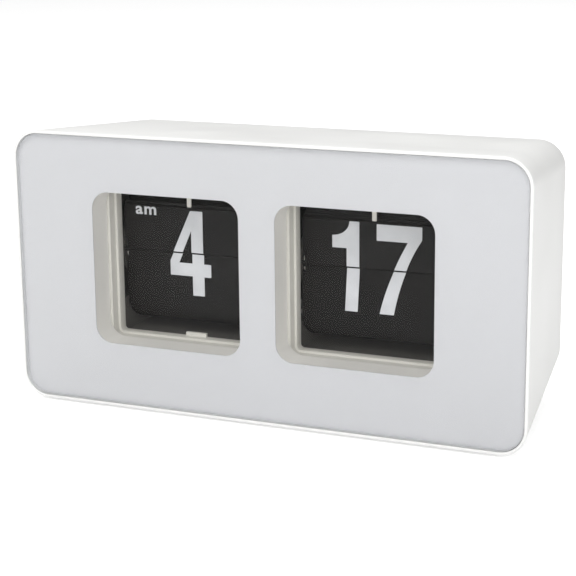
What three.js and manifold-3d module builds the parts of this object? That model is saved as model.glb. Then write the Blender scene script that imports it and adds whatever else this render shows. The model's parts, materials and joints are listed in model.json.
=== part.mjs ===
// A desk flip number clock. Millimetres, +Z up, the dial faces -Y, +X is the viewer's right.
// Origin: middle of the clock's outline, on the surface that it stands on.
import * as THREE from "three";
import * as BufferGeometryUtils from "three/addons/utils/BufferGeometryUtils.js";
import Module from "manifold-3d";

// ---- Driving dimensions -------------------------------------------------------------------
const CASE = {
  width: 180, height: 93.4, front: -35, back: 35, corner: 9.3, wall: 2.4,
  // how far each side has drawn in at the back
  sideDraft: 7.6, topDraft: 5.1, floorDraft: 7.3,
};
const STAND_GAP = 0.8;                       // the front feet lift the case this far
const LIP = { width: 1.1, depth: 2.1 };      // rim around the glossy front panel
const LENS_THICK = 1.5;
const MASK_THICK = 0.3;
const WINDOW = { width: 53.5, height: 51.9, middle: 47.65, corner: 6, wall: 1.6, depth: 11.5 };
const HOUR_X = -33.87;                       // middle of the hour window
const MINUTE_X = 32.57;                      // middle of the minute window
const SPLIT_Z = 50.8;                        // the line where upper and lower leaves meet
const LEAF = { halfWidth: 25.1, length: 15.6, thick: 0.4, plane: -15 };
const DRUM = { pivotRadius: 10.5, barrelRadius: 9, discRadius: 11.2, discThick: 1.2 };
const AXIS_Y = LEAF.plane + DRUM.pivotRadius;
const SHAFT_RADIUS = 1.5;
const BORE_RADIUS = 1.62;                    // running bores on the shaft
const DRIVE = { module: 0.4, drumTeeth: 60, motorTeeth: 12, settingTeeth: 50, motorAngle: -108 };
const HOUR_TRAIN = { pinionModule: 0.56, pinionTeeth: 10, wheelTeeth: 40,
  hourModule: 0.5, layTeeth: 8, hourTeeth: 48 };
const LAY_DISTANCE = HOUR_TRAIN.pinionModule * (HOUR_TRAIN.pinionTeeth + HOUR_TRAIN.wheelTeeth) / 2;
const FRAME = { front: -23.2, plateBack: -20.5, back: -16, halfOpening: 25.5,
  openingBottom: 22.3, openingTop: 76, wall: 1.3, halfWidth: 71, bottom: 18, top: 80.5 };
const PLATE = { thick: 1.4, left: -62.4, centre: -1.2, right: 63, front: -20.2, back: 22,
  bottom: 20, top: 78 };
const FINGER = { side: 0.35, halfWidth: 0.95, front: -16.3, back: -15.6, rise: 0.25 };
const STOP = { left: -1.5, right: 6.2, front: -17.2, top: 23.6 };   // x from the hour window
const SHIELD = { halfWidth: 26.7, wall: 0.8, back: 6, bottom: 20.9, top: 33 };
const ROD = { radius: 1.5, upper: [16, 72], lower: [8, 22.5] };   // [y, z] of the two tie rods
const BATTERY = { radius: 7.1, length: 49.5, nub: 1, y: 23.6, z: 24.5, clear: 0.4 };
const TRAY = { halfLength: 28.6, front: 15.2, bottom: 15.8, top: 33.2, wall: 1.2 };
const COVER = { inner: 32.2, outer: 34.6, gap: 0.35 };
const WHEEL = { radius: 16, left: 67, right: 72, gap: 0.6, grips: 36 };
const COVER_SCREWS = [[-75.5, 15.5], [75.5, 15.5], [-75.5, 80], [75.5, 80]];
const FRAME_SCREWS = [[-67.5, 24], [67.5, 24], [-67.5, 74], [67.5, 74]];
const FOOT = { x: 62, front: -27, back: 22, radius: 4.5, gap: 0.3 };
const GAP = 0.3;                             // usual room between neighbouring pieces
const FIT = 0.05;                            // room between faces that lie on each other
const ROUND = 24;                            // sides of an ordinary round piece

// ---- Materials ----------------------------------------------------------------------------
const paint = (color, roughness, metalness = 0) =>
  new THREE.MeshStandardMaterial({ color, roughness, metalness });
const whitePlastic = paint("#efeeec", 0.4);
const panelPrint = paint("#dcdde0", 0.35);
const clearAcrylic = paint("#eef2f4", 0.05);
const creamPlastic = paint("#d8d6cc", 0.5);
const blackLeaf = paint("#262322", 0.45);
const nylon = paint("#e8e6df", 0.5);
const steel = paint("#b9bcc0", 0.3, 1);
const blackPlastic = paint("#1d1d1e", 0.5);
const boardGreen = paint("#2f6b3f", 0.6);
const chipBlack = paint("#17181a", 0.5);
const cellWrap = paint("#8d9aa6", 0.35, 0.3);
const redWire = paint("#b3261e", 0.5);
const blackWire = paint("#1c1c1c", 0.5);
const rubber = paint("#3a3a3a", 0.85);

// ---- Solids and booleans ------------------------------------------------------------------
const wasm = await Module();
wasm.setup();

function solidOf(geometry) {
  const bare = geometry.clone();
  bare.deleteAttribute("normal");
  bare.deleteAttribute("uv");
  const merged = BufferGeometryUtils.mergeVertices(bare, 1e-4);
  const vertProperties = new Float32Array(merged.attributes.position.array);
  const triVerts = new Uint32Array(merged.index.array);
  return new wasm.Manifold(new wasm.Mesh({ numProp: 3, vertProperties, triVerts }));
}

function geometryOf(solid) {
  const mesh = solid.getMesh();
  const geometry = new THREE.BufferGeometry();
  geometry.setAttribute("position", new THREE.BufferAttribute(mesh.vertProperties, 3));
  geometry.setIndex(new THREE.BufferAttribute(mesh.triVerts, 1));
  geometry.computeVertexNormals();
  return geometry;
}

// base + every piece in `added`, less every piece in `removed`
function combine(base, added, removed) {
  let solid = solidOf(base);
  for (const piece of added) solid = solid.add(solidOf(piece));
  for (const piece of removed) solid = solid.subtract(solidOf(piece));
  return geometryOf(solid);
}

// ---- Outlines and extrusions --------------------------------------------------------------
const ALONG_X = new THREE.Matrix4().makeBasis(
  new THREE.Vector3(0, 1, 0), new THREE.Vector3(0, 0, 1), new THREE.Vector3(1, 0, 0));
const ALONG_Y = new THREE.Matrix4().makeBasis(
  new THREE.Vector3(1, 0, 0), new THREE.Vector3(0, 0, 1), new THREE.Vector3(0, -1, 0));

// an outline drawn in (y, z), made solid from x = start to x = end
function slabAlongX(shape, start, end, segments = 4) {
  const depth = end - start;
  const slab = new THREE.ExtrudeGeometry(shape,
    { depth, bevelEnabled: false, curveSegments: segments });
  return slab.applyMatrix4(ALONG_X).translate(start, 0, 0);
}

// an outline drawn in (x, z), made solid from y = start to y = end
function slabAlongY(shape, start, end, segments = 4) {
  const depth = end - start;
  const slab = new THREE.ExtrudeGeometry(shape,
    { depth, bevelEnabled: false, curveSegments: segments });
  return slab.applyMatrix4(ALONG_Y).translate(0, end, 0);
}

const box = (x0, x1, y0, y1, z0, z1) => new THREE.BoxGeometry(x1 - x0, y1 - y0, z1 - z0)
  .translate((x0 + x1) / 2, (y0 + y1) / 2, (z0 + z1) / 2);

const rodAlongX = (radius, x0, x1, y, z, sides = ROUND) =>
  new THREE.CylinderGeometry(radius, radius, x1 - x0, sides)
    .rotateZ(Math.PI / 2).translate((x0 + x1) / 2, y, z);

const rodAlongY = (radius, y0, y1, x, z, sides = ROUND) =>
  new THREE.CylinderGeometry(radius, radius, y1 - y0, sides).translate(x, (y0 + y1) / 2, z);

function roundedRectangle(x, z, width, height, radius) {
  const shape = new THREE.Shape();
  const right = x + width / 2 - radius;
  const left = x - width / 2 + radius;
  const top = z + height / 2 - radius;
  const bottom = z - height / 2 + radius;
  shape.absarc(right, top, radius, 0, Math.PI / 2);
  shape.absarc(left, top, radius, Math.PI / 2, Math.PI);
  shape.absarc(left, bottom, radius, Math.PI, 1.5 * Math.PI);
  shape.absarc(right, bottom, radius, 1.5 * Math.PI, 2 * Math.PI);
  shape.closePath();
  return shape;
}

// A block whose rounded-rectangle section changes along y: one station {y, w, h, z, r} per ring.
function blockThrough(stations, segments = 5) {
  const unit = roundedRectangle(0, 0, 4, 4, 1);
  const steps = stations.length - 1;
  const block = new THREE.ExtrudeGeometry(unit,
    { depth: steps, steps, bevelEnabled: false, curveSegments: segments });
  const place = block.attributes.position;
  for (let i = 0; i < place.count; i += 1) {
    const ring = stations[steps - Math.round(place.getZ(i))];
    const sideX = Math.sign(place.getX(i));
    const sideZ = Math.sign(place.getY(i));
    const x = sideX * (ring.w / 2 - ring.r) + (place.getX(i) - sideX) * ring.r;
    const z = ring.z + sideZ * (ring.h / 2 - ring.r) + (place.getY(i) - sideZ) * ring.r;
    place.setXYZ(i, x, ring.y, z);
  }
  return block;
}

// the case's outer section at depth y, drawn in by `inset` all round
function caseRing(y, inset) {
  const share = (y - CASE.front) / (CASE.back - CASE.front);
  const bottom = CASE.floorDraft * share;
  const top = CASE.height - CASE.topDraft * share;
  return {
    y, w: CASE.width - 2 * CASE.sideDraft * share - 2 * inset,
    h: top - bottom - 2 * inset, z: (top + bottom) / 2, r: Math.max(CASE.corner - inset, 1),
  };
}

// a plain toothed wheel centred on the x axis, one tooth pointing along `phase` (radians)
function gearShape(teeth, module, phase) {
  const pitch = teeth * module / 2;
  const corners = [[-0.95, -1.15], [-0.3, 0.8], [0.3, 0.8], [0.95, -1.15]];
  const points = [];
  for (let tooth = 0; tooth < teeth; tooth += 1) {
    const middle = phase + tooth * 2 * Math.PI / teeth;
    for (const [across, out] of corners) {
      const radius = pitch + out * module;
      const angle = middle + across * module / radius;
      points.push(new THREE.Vector2(radius * Math.cos(angle), radius * Math.sin(angle)));
    }
  }
  return new THREE.Shape(points);
}

function circleHole(y, z, radius, sides = 16) {
  const points = [];
  for (let i = 0; i < sides; i += 1) {
    const angle = 2 * Math.PI * i / sides;
    points.push(new THREE.Vector2(y + radius * Math.cos(angle), z + radius * Math.sin(angle)));
  }
  return new THREE.Path(points);
}

// a gear from x0 to x1 on the line through (y, z), bored out for its shaft
function gear(teeth, module, phase, x0, x1, y, z, bore) {
  const shape = gearShape(teeth, module, phase);
  shape.holes.push(circleHole(0, 0, bore));
  return slabAlongX(shape, x0, x1).translate(0, y, z);
}

// a ring turned about the x direction from [radius, x] points
function turned(profile, y, z, sides = ROUND) {
  const points = profile.map(([radius, x]) => new THREE.Vector2(radius, x));
  points.push(points[0].clone());
  return new THREE.LatheGeometry(points, sides).rotateZ(-Math.PI / 2).translate(0, y, z);
}

const clock = new THREE.Group();
const movement = new THREE.Group();
const body = new THREE.Group();
body.position.z = STAND_GAP;
clock.add(body);
body.add(movement);

function addPiece(group, name, geometry, material) {
  const mesh = new THREE.Mesh(geometry, material);
  mesh.name = name;
  group.add(mesh);
}

// ---- Case, front panel and back cover -----------------------------------------------------
const lipRing = (y, extra) => ({
  y, w: CASE.width - 2 * (LIP.width + extra), h: CASE.height - 2 * (LIP.width + extra),
  z: CASE.height / 2, r: CASE.corner - LIP.width - extra,
});

const windowBlock = (x, y0, y1, grow) => slabAlongY(
  roundedRectangle(x, WINDOW.middle, WINDOW.width + 2 * grow, WINDOW.height + 2 * grow,
    WINDOW.corner + grow), y0, y1, 4);

function caseShell() {
  const wallFront = CASE.front + LIP.depth;
  const wallBack = wallFront + CASE.wall;
  const edge = 0.5;
  const outer = blockThrough([
    caseRing(CASE.front, edge), caseRing(CASE.front + edge, 0),
    caseRing(CASE.back - 1.5, 0), caseRing(CASE.back - 0.45, 0.5), caseRing(CASE.back, 1.3)]);
  const recess = blockThrough([lipRing(CASE.front - 1, 0), lipRing(wallFront, 0)]);
  const cavity = blockThrough([
    caseRing(wallBack, CASE.wall), caseRing(CASE.back + 1, CASE.wall)]);
  const added = [];
  const removed = [];
  for (const x of [HOUR_X, MINUTE_X]) {
    added.push(windowBlock(x, wallFront + 0.5, CASE.front + WINDOW.depth, WINDOW.wall));
    removed.push(windowBlock(x, CASE.front, CASE.front + WINDOW.depth + 1, 0));
  }
  for (const [x, z] of COVER_SCREWS) {
    added.push(rodAlongY(3.2, wallFront + 0.5, COVER.inner - GAP, x, z, 12));
    removed.push(rodAlongY(1.25, COVER.inner - 12, COVER.inner, x, z, 12));
  }
  for (const [x, z] of FRAME_SCREWS) {
    added.push(rodAlongY(2.8, wallFront + 0.5, FRAME.front - FIT, x, z, 12));
    removed.push(rodAlongY(1.25, FRAME.front - 5, FRAME.front, x, z, 12));
  }
  const hollow = combine(outer, [], [recess, cavity]);
  return combine(hollow, added, removed);
}

function frontMask() {
  const back = CASE.front + LIP.depth - FIT;
  const sheet = blockThrough([lipRing(back - MASK_THICK, GAP / 2), lipRing(back, GAP / 2)]);
  return combine(sheet, [], [HOUR_X, MINUTE_X].map((x) => windowBlock(x, back - 2, back + 1, 0)));
}

function frontLens() {
  const back = CASE.front + LIP.depth - MASK_THICK - 2 * FIT;
  return blockThrough([
    lipRing(back - LENS_THICK, GAP / 2 + 0.2), lipRing(back - LENS_THICK + 0.2, GAP / 2),
    lipRing(back, GAP / 2)]);
}

const SETTING_Y = AXIS_Y + DRIVE.module * (DRIVE.drumTeeth + DRIVE.settingTeeth) / 2;
const SCOOP = { left: 64, right: 75, halfHeight: 14.5, floor: 30.2, wall: 1.2 };

function backCover() {
  const opening = caseRing(CASE.back, CASE.wall + COVER.gap);
  const plate = blockThrough([{ ...opening, y: COVER.inner }, { ...opening, y: COVER.outer }]);
  const tray = box(-TRAY.halfLength, TRAY.halfLength, TRAY.front, COVER.inner + 1,
    TRAY.bottom, TRAY.top);
  const scoop = box(SCOOP.left, SCOOP.right, SCOOP.floor - SCOOP.wall, COVER.inner + 1,
    SPLIT_Z - SCOOP.halfHeight, SPLIT_Z + SCOOP.halfHeight);
  const inTray = box(-TRAY.halfLength + TRAY.wall, TRAY.halfLength - TRAY.wall,
    TRAY.front + TRAY.wall, COVER.outer + 1, TRAY.bottom + TRAY.wall, TRAY.top - TRAY.wall);
  const inScoop = box(SCOOP.left + SCOOP.wall, SCOOP.right - SCOOP.wall, SCOOP.floor,
    COVER.outer + 1, SPLIT_Z - SCOOP.halfHeight + SCOOP.wall,
    SPLIT_Z + SCOOP.halfHeight - SCOOP.wall);
  const reach = SCOOP.floor - SCOOP.wall - SETTING_Y;
  const halfSlot = Math.sqrt(WHEEL.radius ** 2 - reach ** 2) + WHEEL.gap;
  const slot = box(WHEEL.left - WHEEL.gap, WHEEL.right + WHEEL.gap, SCOOP.floor - 5,
    COVER.outer, SPLIT_Z - halfSlot, SPLIT_Z + halfSlot);
  const leadHole = rodAlongX(1.3, TRAY.halfLength - 3, TRAY.halfLength + 3,
    TRAY.front + 4, TRAY.bottom + 4, 10);
  const holes = COVER_SCREWS.flatMap(([x, z]) => [
    rodAlongY(1.4, COVER.inner - 1, COVER.outer + 1, x, z, 12),
    rodAlongY(3, COVER.outer - 1.2, COVER.outer + 1, x, z, 16)]);
  return combine(plate, [tray, scoop], [inTray, inScoop, slot, leadHole, ...holes]);
}

const DOOR = {
  left: -TRAY.halfLength + TRAY.wall + GAP, right: TRAY.halfLength - TRAY.wall - GAP,
  bottom: TRAY.bottom + TRAY.wall + GAP, top: TRAY.top - TRAY.wall - GAP, inner: COVER.outer - 1.8,
};

function batteryDoor() {
  const lid = box(DOOR.left, DOOR.right, DOOR.inner, COVER.outer, DOOR.bottom, DOOR.top);
  const ridges = [0, 1, 2].map((i) => box(-7, 7, COVER.outer - 0.5, COVER.outer + 1,
    DOOR.top - 2.4 - 1.5 * i, DOOR.top - 1.8 - 1.5 * i));
  return combine(lid, [], ridges);
}

// a pan-head screw along +y with a cross recess: its head is at the +y end
function screw(x, z, headY, shankLength) {
  const head = rodAlongY(2.4, headY, headY + 1, x, z, 14);
  const shank = rodAlongY(1.05, headY - shankLength, headY + 0.5, x, z, 10);
  const slots = [
    box(x - 1.5, x + 1.5, headY + 0.45, headY + 2, z - 0.3, z + 0.3),
    box(x - 0.3, x + 0.3, headY + 0.45, headY + 2, z - 1.5, z + 1.5)];
  return combine(head, [shank], slots);
}

addPiece(body, "case_shell", caseShell(), whitePlastic);
addPiece(body, "front_mask", frontMask(), panelPrint);
addPiece(body, "front_lens", frontLens(), clearAcrylic);
addPiece(body, "back_cover", backCover(), whitePlastic);
addPiece(body, "battery_door", batteryDoor(), whitePlastic);
COVER_SCREWS.forEach(([x, z], i) =>
  addPiece(body, `cover_screw_${i + 1}`, screw(x, z, COVER.outer - 1.2 + FIT, 8), steel));
FRAME_SCREWS.forEach(([x, z], i) =>
  addPiece(body, `movement_screw_${i + 1}`, screw(x, z, FRAME.plateBack + FIT, 6), steel));

// ---- Feet: rubber pads, the rear ones taller because the floor of the case rises ----------
for (const [name, y] of [["front", FOOT.front], ["rear", FOOT.back]]) {
  for (const [side, x] of [["left", -FOOT.x], ["right", FOOT.x]]) {
    const pad = new THREE.CylinderGeometry(FOOT.radius, FOOT.radius - 0.4, 12, 20)
      .rotateX(Math.PI / 2).translate(x, y, 6);
    const above = blockThrough([caseRing(CASE.front, 0), caseRing(CASE.back, 0)])
      .translate(0, 0, STAND_GAP - FOOT.gap);
    addPiece(clock, `${name}_foot_${side}`, combine(pad, [], [above]), rubber);
  }
}

// ---- Inner display frame and the fingers that hold the upper leaves back ------------------
function displayFrame() {
  const { bottom, top } = FRAME;
  const plate = box(-FRAME.halfWidth, FRAME.halfWidth, FRAME.front, FRAME.plateBack, bottom, top);
  const middle = (FRAME.openingBottom + FRAME.openingTop) / 2;
  const height = FRAME.openingTop - FRAME.openingBottom;
  const opening = (x, y0, y1, grow) => slabAlongY(roundedRectangle(x, middle,
    2 * (FRAME.halfOpening + grow), height + 2 * grow, 1.3 + Math.max(grow, 0)), y0, y1, 2);
  const added = [];
  const removed = [];
  for (const x of [HOUR_X, MINUTE_X]) {
    added.push(opening(x, FRAME.front, FRAME.back, FRAME.wall));
    removed.push(opening(x, FRAME.front - 1, FRAME.back + 1, 0));
    removed.push(opening(x, FRAME.front - 1, -19.6, 0.8));
  }
  for (const [x, z] of FRAME_SCREWS) {
    removed.push(rodAlongY(1.4, FRAME.front - 1, FRAME.plateBack + 1, x, z, 12));
  }
  const stop = box(HOUR_X + STOP.left, HOUR_X + STOP.right, STOP.front, FRAME.back,
    FRAME.openingBottom - 0.5, STOP.top);
  return combine(combine(plate, added, removed), [stop], []);
}

// a finger that hangs in front of the second leaf and ends just above the leaf about to fall
const finger = (x) => box(x + FINGER.side - FINGER.halfWidth, x + FINGER.side + FINGER.halfWidth,
  FINGER.front, FINGER.back, SPLIT_Z + LEAF.length + FINGER.rise, FRAME.openingTop - FIT);

// one black moulding with a trough under each drum, which hides the works from view
function leafShield() {
  const inner = SHIELD.halfWidth - SHIELD.wall;
  const front = FRAME.back + FIT;
  const floor = SHIELD.bottom + SHIELD.wall;
  const strip = box(HOUR_X, MINUTE_X, front, SHIELD.back, SHIELD.bottom, floor);
  const troughs = [HOUR_X, MINUTE_X].map((x) =>
    box(x - SHIELD.halfWidth, x + SHIELD.halfWidth, front, SHIELD.back, SHIELD.bottom, SHIELD.top));
  const hollows = [HOUR_X, MINUTE_X].map((x) =>
    box(x - inner, x + inner, front - 1, SHIELD.back + 1, floor, SHIELD.top + 1));
  return combine(strip, troughs, hollows);
}

addPiece(movement, "display_frame", displayFrame(), creamPlastic);
addPiece(movement, "hour_leaf_finger", finger(HOUR_X), creamPlastic);
addPiece(movement, "minute_leaf_finger", finger(MINUTE_X), creamPlastic);
addPiece(movement, "leaf_shield", leafShield(), blackPlastic);

// ---- Movement plates, main shaft and tie rods ---------------------------------------------
const layY = AXIS_Y + LAY_DISTANCE;
const motorTurn = THREE.MathUtils.degToRad(DRIVE.motorAngle);
const motorDistance = DRIVE.module * (DRIVE.drumTeeth + DRIVE.motorTeeth) / 2;
const motorY = AXIS_Y + motorDistance * Math.cos(motorTurn);
const motorZ = SPLIT_Z + motorDistance * Math.sin(motorTurn);

function plate(x, bottom, extraHoles) {
  const shape = roundedRectangle((PLATE.front + PLATE.back) / 2, (bottom + PLATE.top) / 2,
    PLATE.back - PLATE.front, PLATE.top - bottom, 2);
  const holes = [[AXIS_Y, SPLIT_Z, SHAFT_RADIUS + 0.1], [...ROD.upper, ROD.radius + 0.1],
    ...extraHoles];
  for (const [y, z, radius] of holes) shape.holes.push(circleHole(y, z, radius));
  return slabAlongX(shape, x, x + PLATE.thick, 2);
}

const lowerRodHole = [...ROD.lower, ROD.radius + 0.1];
addPiece(movement, "left_plate", plate(PLATE.left, PLATE.bottom, [lowerRodHole]), blackPlastic);
// the centre plate stops above the battery tray
addPiece(movement, "centre_plate",
  plate(PLATE.centre, TRAY.top + 1, [[layY, SPLIT_Z, 0.95]]), blackPlastic);
addPiece(movement, "right_plate", plate(PLATE.right, PLATE.bottom,
  [lowerRodHole, [motorY, motorZ, 3.6], [SETTING_Y, SPLIT_Z, 1.65]]), blackPlastic);
addPiece(movement, "main_shaft",
  rodAlongX(SHAFT_RADIUS, PLATE.left, PLATE.right + PLATE.thick + 1, AXIS_Y, SPLIT_Z), steel);
for (const [name, [y, z]] of [["upper", ROD.upper], ["lower", ROD.lower]]) {
  addPiece(movement, `tie_rod_${name}`,
    rodAlongX(ROD.radius, PLATE.left, PLATE.right + PLATE.thick + 3, y, z, 12), steel);
  const hexagon = new THREE.Shape(circleHole(0, 0, 3.1, 6).getPoints());
  hexagon.holes.push(circleHole(0, 0, ROD.radius + 0.1, 12));
  const nutLeft = PLATE.right + PLATE.thick + FIT;
  addPiece(movement, `tie_rod_nut_${name}`,
    slabAlongX(hexagon, nutLeft, nutLeft + 2.2).translate(0, y, z), steel);
}

// ---- The two drums: hub, end discs, gears -------------------------------------------------
const DISC_INNER = LEAF.halfWidth + GAP;
const DISC_OUTER = DISC_INNER + DRUM.discThick;
const GEAR_SPACE = 0.5;                      // the big gears pass behind the edge of the frame

function hub(x) {
  const end = DISC_INNER - FIT;
  const rim = DRUM.barrelRadius - 1.4;
  const tube = 3.2;
  return turned([[BORE_RADIUS, x - end], [tube, x - end], [tube, x - 0.8], [rim, x - 0.8],
    [rim, x - end], [DRUM.barrelRadius, x - end], [DRUM.barrelRadius, x + end], [rim, x + end],
    [rim, x + 0.8], [tube, x + 0.8], [tube, x + end], [BORE_RADIUS, x + end]], AXIS_Y, SPLIT_Z);
}

const disc = (x0) => turned([[BORE_RADIUS, x0], [DRUM.discRadius, x0],
  [DRUM.discRadius, x0 + DRUM.discThick], [BORE_RADIUS, x0 + DRUM.discThick]],
AXIS_Y, SPLIT_Z, 36);

for (const [name, x] of [["hour", HOUR_X], ["minute", MINUTE_X]]) {
  addPiece(movement, `${name}_hub`, hub(x), nylon);
  addPiece(movement, `${name}_disc_left`, disc(x - DISC_OUTER), blackPlastic);
  addPiece(movement, `${name}_disc_right`, disc(x + DISC_INNER), blackPlastic);
}

const driveLeft = MINUTE_X + DISC_OUTER + GEAR_SPACE;
const driveRight = driveLeft + 1.8;
addPiece(movement, "minute_drive_gear", gear(DRIVE.drumTeeth, DRIVE.module, 0,
  driveLeft, driveRight, AXIS_Y, SPLIT_Z, BORE_RADIUS), nylon);
const pinionRight = MINUTE_X - DISC_OUTER - FIT;
addPiece(movement, "minute_pinion", gear(HOUR_TRAIN.pinionTeeth, HOUR_TRAIN.pinionModule, 0,
  pinionRight - 2.4, pinionRight, AXIS_Y, SPLIT_Z, BORE_RADIUS), nylon);
const hourGearLeft = HOUR_X + DISC_OUTER + GEAR_SPACE;
addPiece(movement, "hour_gear", gear(HOUR_TRAIN.hourTeeth, HOUR_TRAIN.hourModule, 0,
  hourGearLeft, hourGearLeft + 1.6, AXIS_Y, SPLIT_Z, BORE_RADIUS), nylon);

// ---- Lay shaft: steps the minute drum down 24 to 1 for the hour drum ----------------------
const LAY_RADIUS = 0.8;
addPiece(movement, "lay_axle",
  rodAlongX(LAY_RADIUS, hourGearLeft - 0.5, pinionRight - 0.2, layY, SPLIT_Z, 12), steel);
addPiece(movement, "lay_wheel", gear(HOUR_TRAIN.wheelTeeth, HOUR_TRAIN.pinionModule,
  Math.PI + Math.PI / HOUR_TRAIN.wheelTeeth, pinionRight - 2, pinionRight - 0.6,
  layY, SPLIT_Z, LAY_RADIUS + FIT), nylon);
addPiece(movement, "lay_pinion", gear(HOUR_TRAIN.layTeeth, HOUR_TRAIN.hourModule,
  Math.PI + Math.PI / HOUR_TRAIN.layTeeth, hourGearLeft - 0.2, hourGearLeft + 1.8,
  layY, SPLIT_Z, LAY_RADIUS + FIT), nylon);

// ---- Motor, its pinion, and the setting wheel at the back ---------------------------------
const motorLeft = PLATE.right + PLATE.thick + FIT;
addPiece(movement, "motor_unit", combine(
  rodAlongX(9.5, motorLeft, motorLeft + 10, motorY, motorZ, 32),
  [rodAlongX(4, motorLeft + 9, motorLeft + 11.5, motorY, motorZ, 20)], []), steel);
addPiece(movement, "motor_pinion", combine(
  slabAlongX(gearShape(DRIVE.motorTeeth, DRIVE.module,
    motorTurn + Math.PI + Math.PI / DRIVE.motorTeeth), driveLeft, driveRight)
    .translate(0, motorY, motorZ),
  [rodAlongX(1.2, driveRight - 0.5, motorLeft - 0.2, motorY, motorZ, 12)], []), steel);

addPiece(movement, "setting_gear", gear(DRIVE.settingTeeth, DRIVE.module,
  Math.PI + Math.PI / DRIVE.settingTeeth, driveLeft, driveRight, SETTING_Y, SPLIT_Z,
  SHAFT_RADIUS + FIT), nylon);
addPiece(movement, "setting_axle",
  rodAlongX(SHAFT_RADIUS, driveLeft - 1, WHEEL.right + 1.5, SETTING_Y, SPLIT_Z, 16), steel);

function thumbwheel() {
  const shape = new THREE.Shape();
  const points = [];
  for (let i = 0; i < WHEEL.grips; i += 1) {
    for (const [part, drop] of [[0, 0], [0.5, 0], [0.62, 0.7], [0.88, 0.7]]) {
      const angle = 2 * Math.PI * (i + part) / WHEEL.grips;
      const radius = WHEEL.radius - drop;
      points.push(new THREE.Vector2(radius * Math.cos(angle), radius * Math.sin(angle)));
    }
  }
  shape.setFromPoints(points);
  shape.holes.push(circleHole(0, 0, SHAFT_RADIUS + FIT));
  return slabAlongX(shape, WHEEL.left, WHEEL.right).translate(0, SETTING_Y, SPLIT_Z);
}

addPiece(movement, "setting_thumbwheel", thumbwheel(), whitePlastic);

// ---- Circuit board on the right plate -----------------------------------------------------
const boardLeft = PLATE.right + PLATE.thick + 1.2;
addPiece(movement, "circuit_board",
  box(boardLeft, boardLeft + 1.2, -18, 4, 56, 76), boardGreen);
addPiece(movement, "driver_chip",
  box(boardLeft + 1.2 + FIT, boardLeft + 2.8, -10, -4, 63, 69), chipBlack);
addPiece(movement, "quartz_crystal",
  rodAlongX(1, boardLeft + 1.2 + FIT, boardLeft + 7, -14, 60, 12), steel);

// ---- Leaves -------------------------------------------------------------------------------
// the leaf about to fall: a thin card standing on the split line
const flipLeaf = (x) => box(x - LEAF.halfWidth, x + LEAF.halfWidth,
  LEAF.plane - LEAF.thick / 2, LEAF.plane + LEAF.thick / 2, SPLIT_Z + 0.15, SPLIT_Z + LEAF.length);

// the leaf that fell last: it hangs from the split line, its foot leaning out by `lean` degrees
function fallenLeaf(x, lean) {
  const thick = 0.3;
  const leaf = new THREE.BoxGeometry(2 * LEAF.halfWidth, thick, LEAF.length - 0.3);
  return leaf.translate(0, thick / 2, -LEAF.length / 2)
    .rotateX(-THREE.MathUtils.degToRad(lean))
    .translate(x, LEAF.plane + LEAF.thick / 2 + FIT, SPLIT_Z - 0.2);
}

// all the other leaves: they trail round the back of the barrel and hang down below it
function leafPack(x) {
  const trail = Math.hypot(DRUM.pivotRadius, LEAF.length) - 0.4;
  const hang = DRUM.pivotRadius - 0.8;
  const startAngle = Math.acos(-hang / trail);
  const endAngle = -Math.acos(hang / trail);
  const shape = new THREE.Shape();
  shape.absarc(0, 0, trail, startAngle, endAngle, true);
  shape.absarc(0, -LEAF.length, hang, 0, -Math.PI, true);
  shape.closePath();
  shape.holes.push(circleHole(0, 0, DRUM.barrelRadius + GAP, ROUND));
  return slabAlongX(shape, x - LEAF.halfWidth, x + LEAF.halfWidth, 14)
    .translate(0, AXIS_Y, SPLIT_Z);
}

const MINUTE_LEAN = 8;
for (const [name, x, lean] of [["hour", HOUR_X, 0], ["minute", MINUTE_X, MINUTE_LEAN]]) {
  addPiece(movement, `${name}_flip_leaf`, flipLeaf(x), blackLeaf);
  addPiece(movement, `${name}_fallen_leaf`, fallenLeaf(x, lean), blackLeaf);
  addPiece(movement, `${name}_leaf_pack`, leafPack(x), blackLeaf);
}

// ---- Battery, contacts and leads ----------------------------------------------------------
const cellLeft = -BATTERY.length / 2 + 1.2;
const cellRight = cellLeft + BATTERY.length;
addPiece(body, "battery_cell", combine(
  rodAlongX(BATTERY.radius, cellLeft, cellRight, BATTERY.y, BATTERY.z, 28),
  [rodAlongX(2.7, cellRight - 0.5, cellRight + BATTERY.nub, BATTERY.y, BATTERY.z, 14)], []),
cellWrap);
const trayInner = TRAY.halfLength - TRAY.wall - FIT;
addPiece(body, "battery_contact",
  box(trayInner - 0.4, trayInner, BATTERY.y - 5, BATTERY.y + 5, BATTERY.z - 5, BATTERY.z + 5), steel);

// a coil that widens from the cell to the end wall of the tray
class ContactCoil extends THREE.Curve {
  getPoint(share, target = new THREE.Vector3()) {
    const angle = 2 * Math.PI * 3 * share;
    const radius = 2.2 + 2.2 * share;
    const start = cellLeft - 0.55;
    const end = -trayInner + 0.35;
    return target.set(start + (end - start) * share, BATTERY.y + radius * Math.cos(angle),
      BATTERY.z + radius * Math.sin(angle));
  }
}

const wireShape = (radius, sides) => new THREE.Shape(circleHole(0, 0, radius, sides).getPoints());
addPiece(body, "battery_spring", new THREE.ExtrudeGeometry(wireShape(0.25, 6),
  { steps: 42, bevelEnabled: false, extrudePath: new ContactCoil() }), steel);

function lead(points, material, name) {
  const path = new THREE.CatmullRomCurve3(points.map(([x, y, z]) => new THREE.Vector3(x, y, z)));
  addPiece(body, name, new THREE.ExtrudeGeometry(wireShape(0.6, 6),
    { steps: 34, bevelEnabled: false, extrudePath: path }), material);
}

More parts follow.
